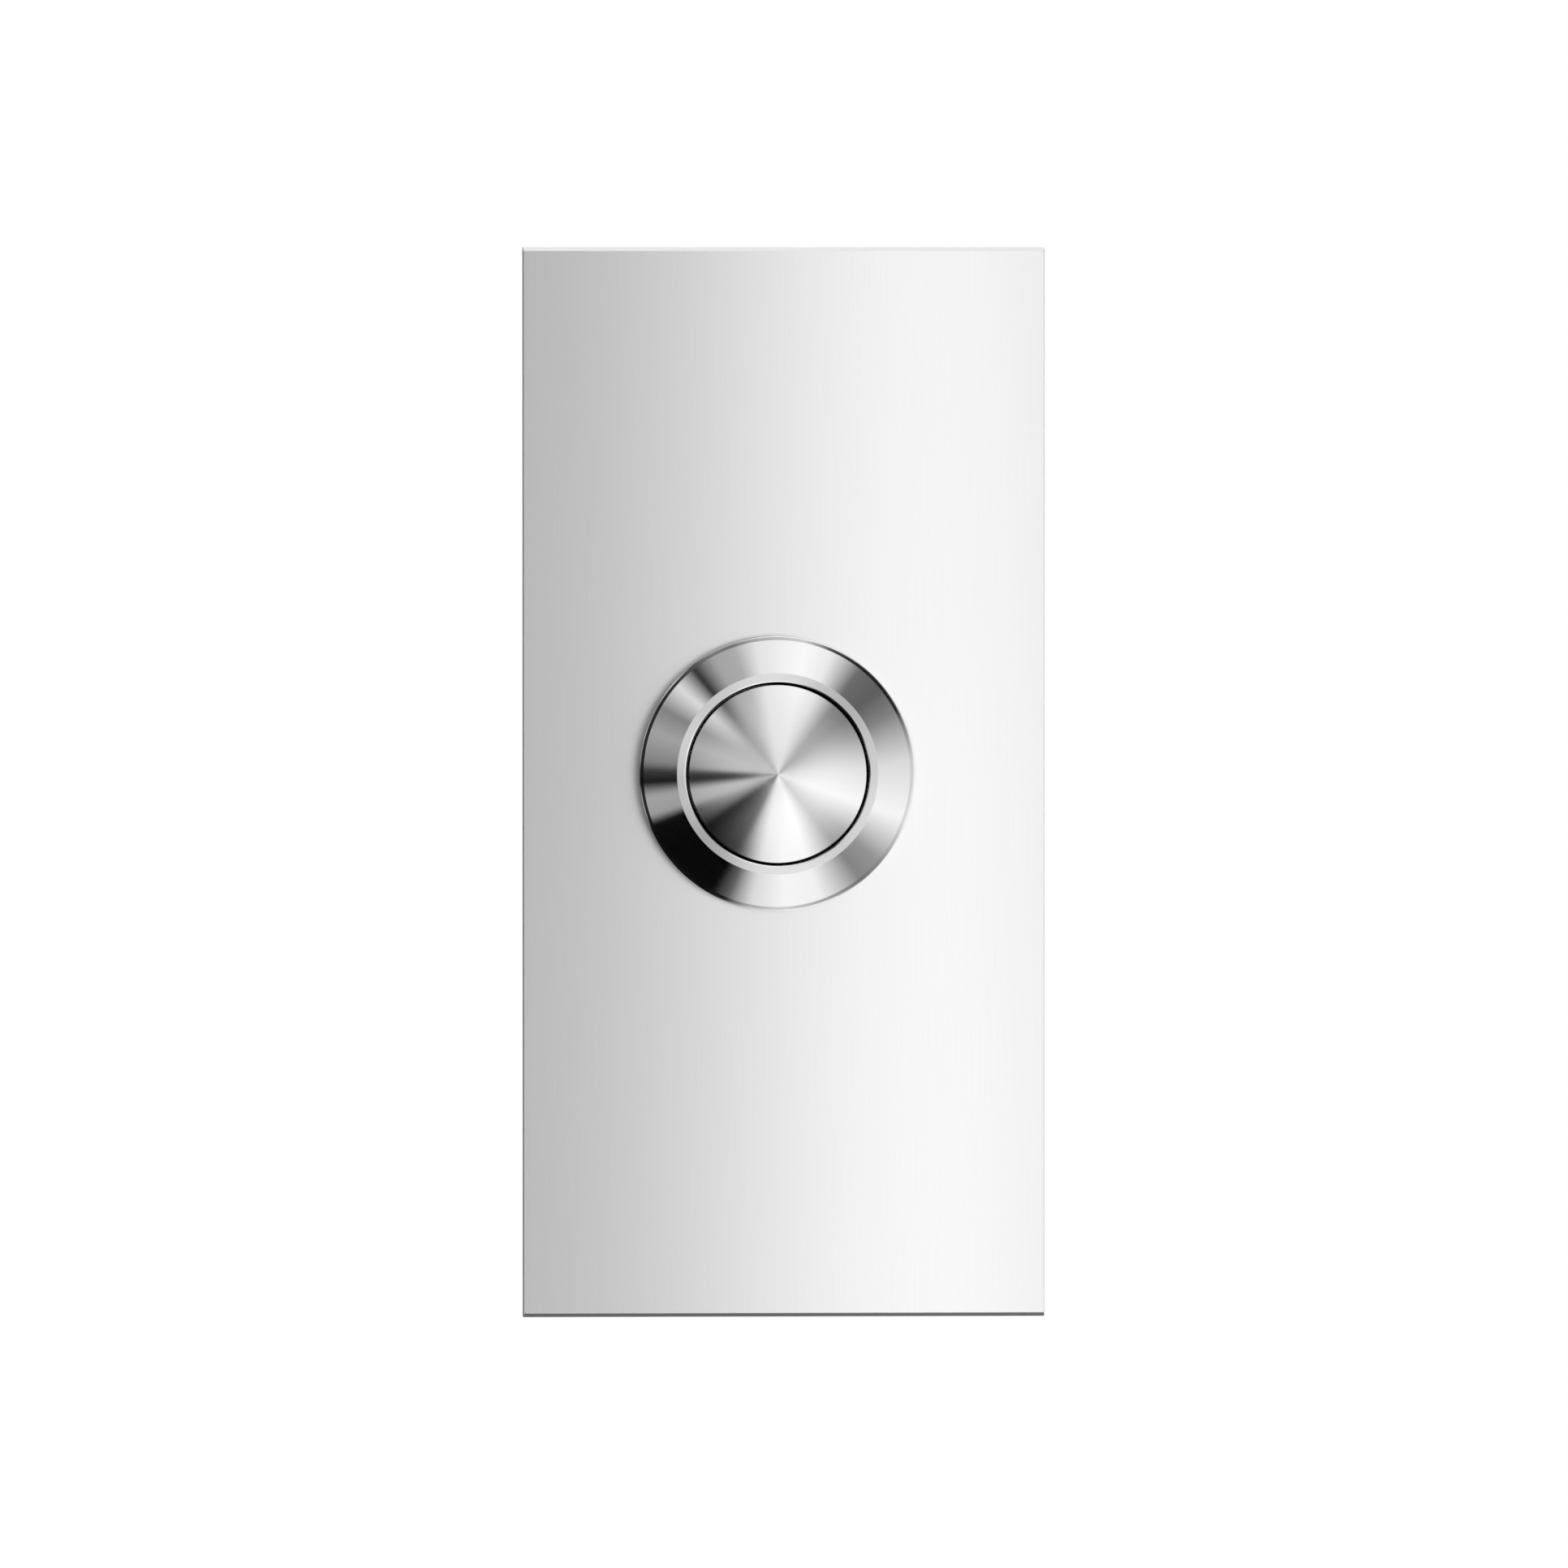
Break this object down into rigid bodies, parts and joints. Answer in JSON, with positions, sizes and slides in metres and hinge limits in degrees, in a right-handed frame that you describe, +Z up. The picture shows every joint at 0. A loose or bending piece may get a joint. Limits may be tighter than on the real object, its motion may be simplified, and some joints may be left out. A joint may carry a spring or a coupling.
{
  "type": "doorbell push button",
  "caption": "Doorbell push button: a flat upright brushed steel plate with a round turned steel push button, sprung inside a threaded barrel behind it.",
  "frame": {"origin": "the push button's axis where it meets the wall plane, which is also the middle of the stud pattern", "axes": "+Y into the wall along the push, +Z up, +X to the right as seen from the front"},
  "size_m": [0.0418, 0.0275, 0.0857],
  "materials": {
    "plate_steel": "brushed along the plate's height, satin",
    "turned_steel": "lathe turned, fine circular marks, satin",
    "stud_steel": "rolled stainless thread, semi-bright",
    "nut_plating": "nickel plate, bright",
    "spring_wire": "drawn stainless spring wire",
    "brass": "turned brass, semi-bright",
    "contact_silver": "silver contact face, satin",
    "screw_steel": "bright zinc plate",
    "seal_rubber": "moulded nitrile rubber, matt",
    "gasket_foam": "closed-cell foam sheet, matt",
    "base_plastic": "moulded black glass-filled plastic",
    "plunger_plastic": "moulded natural acetal"
  },
  "bodies": {
    "housing": {"face_plate": "plate_steel", "upper_stud": "stud_steel", "lower_stud": "stud_steel", "wall_gasket": "gasket_foam", "button_housing": "turned_steel", "panel_seal": "seal_rubber", "stem_seal": "seal_rubber", "return_spring": "spring_wire", "switch_base": "base_plastic", "base_retaining_ring": "spring_wire", "fixed_contact_left": "brass", "fixed_contact_right": "brass", "clamp_washer_left": "screw_steel", "clamp_washer_right": "screw_steel", "terminal_screw_left": "screw_steel", "terminal_screw_right": "screw_steel", "lock_washer": "screw_steel", "lock_nut": "nut_plating"},
    "button": {"push_cap": "turned_steel", "retaining_clip": "spring_wire", "plunger": "plunger_plastic", "contact_spring": "spring_wire", "contact_bridge": "brass", "moving_contact_left": "contact_silver", "moving_contact_right": "contact_silver"}
  },
  "joints": [
    {"name": "press", "type": "slide", "parent": "housing", "child": "button", "axis": [0, 1, 0], "range_m": [0, 0.0015], "stiffness_N_per_m": 1000, "springref_m": -0.001, "deforming": ["return_spring"]}
  ]
}
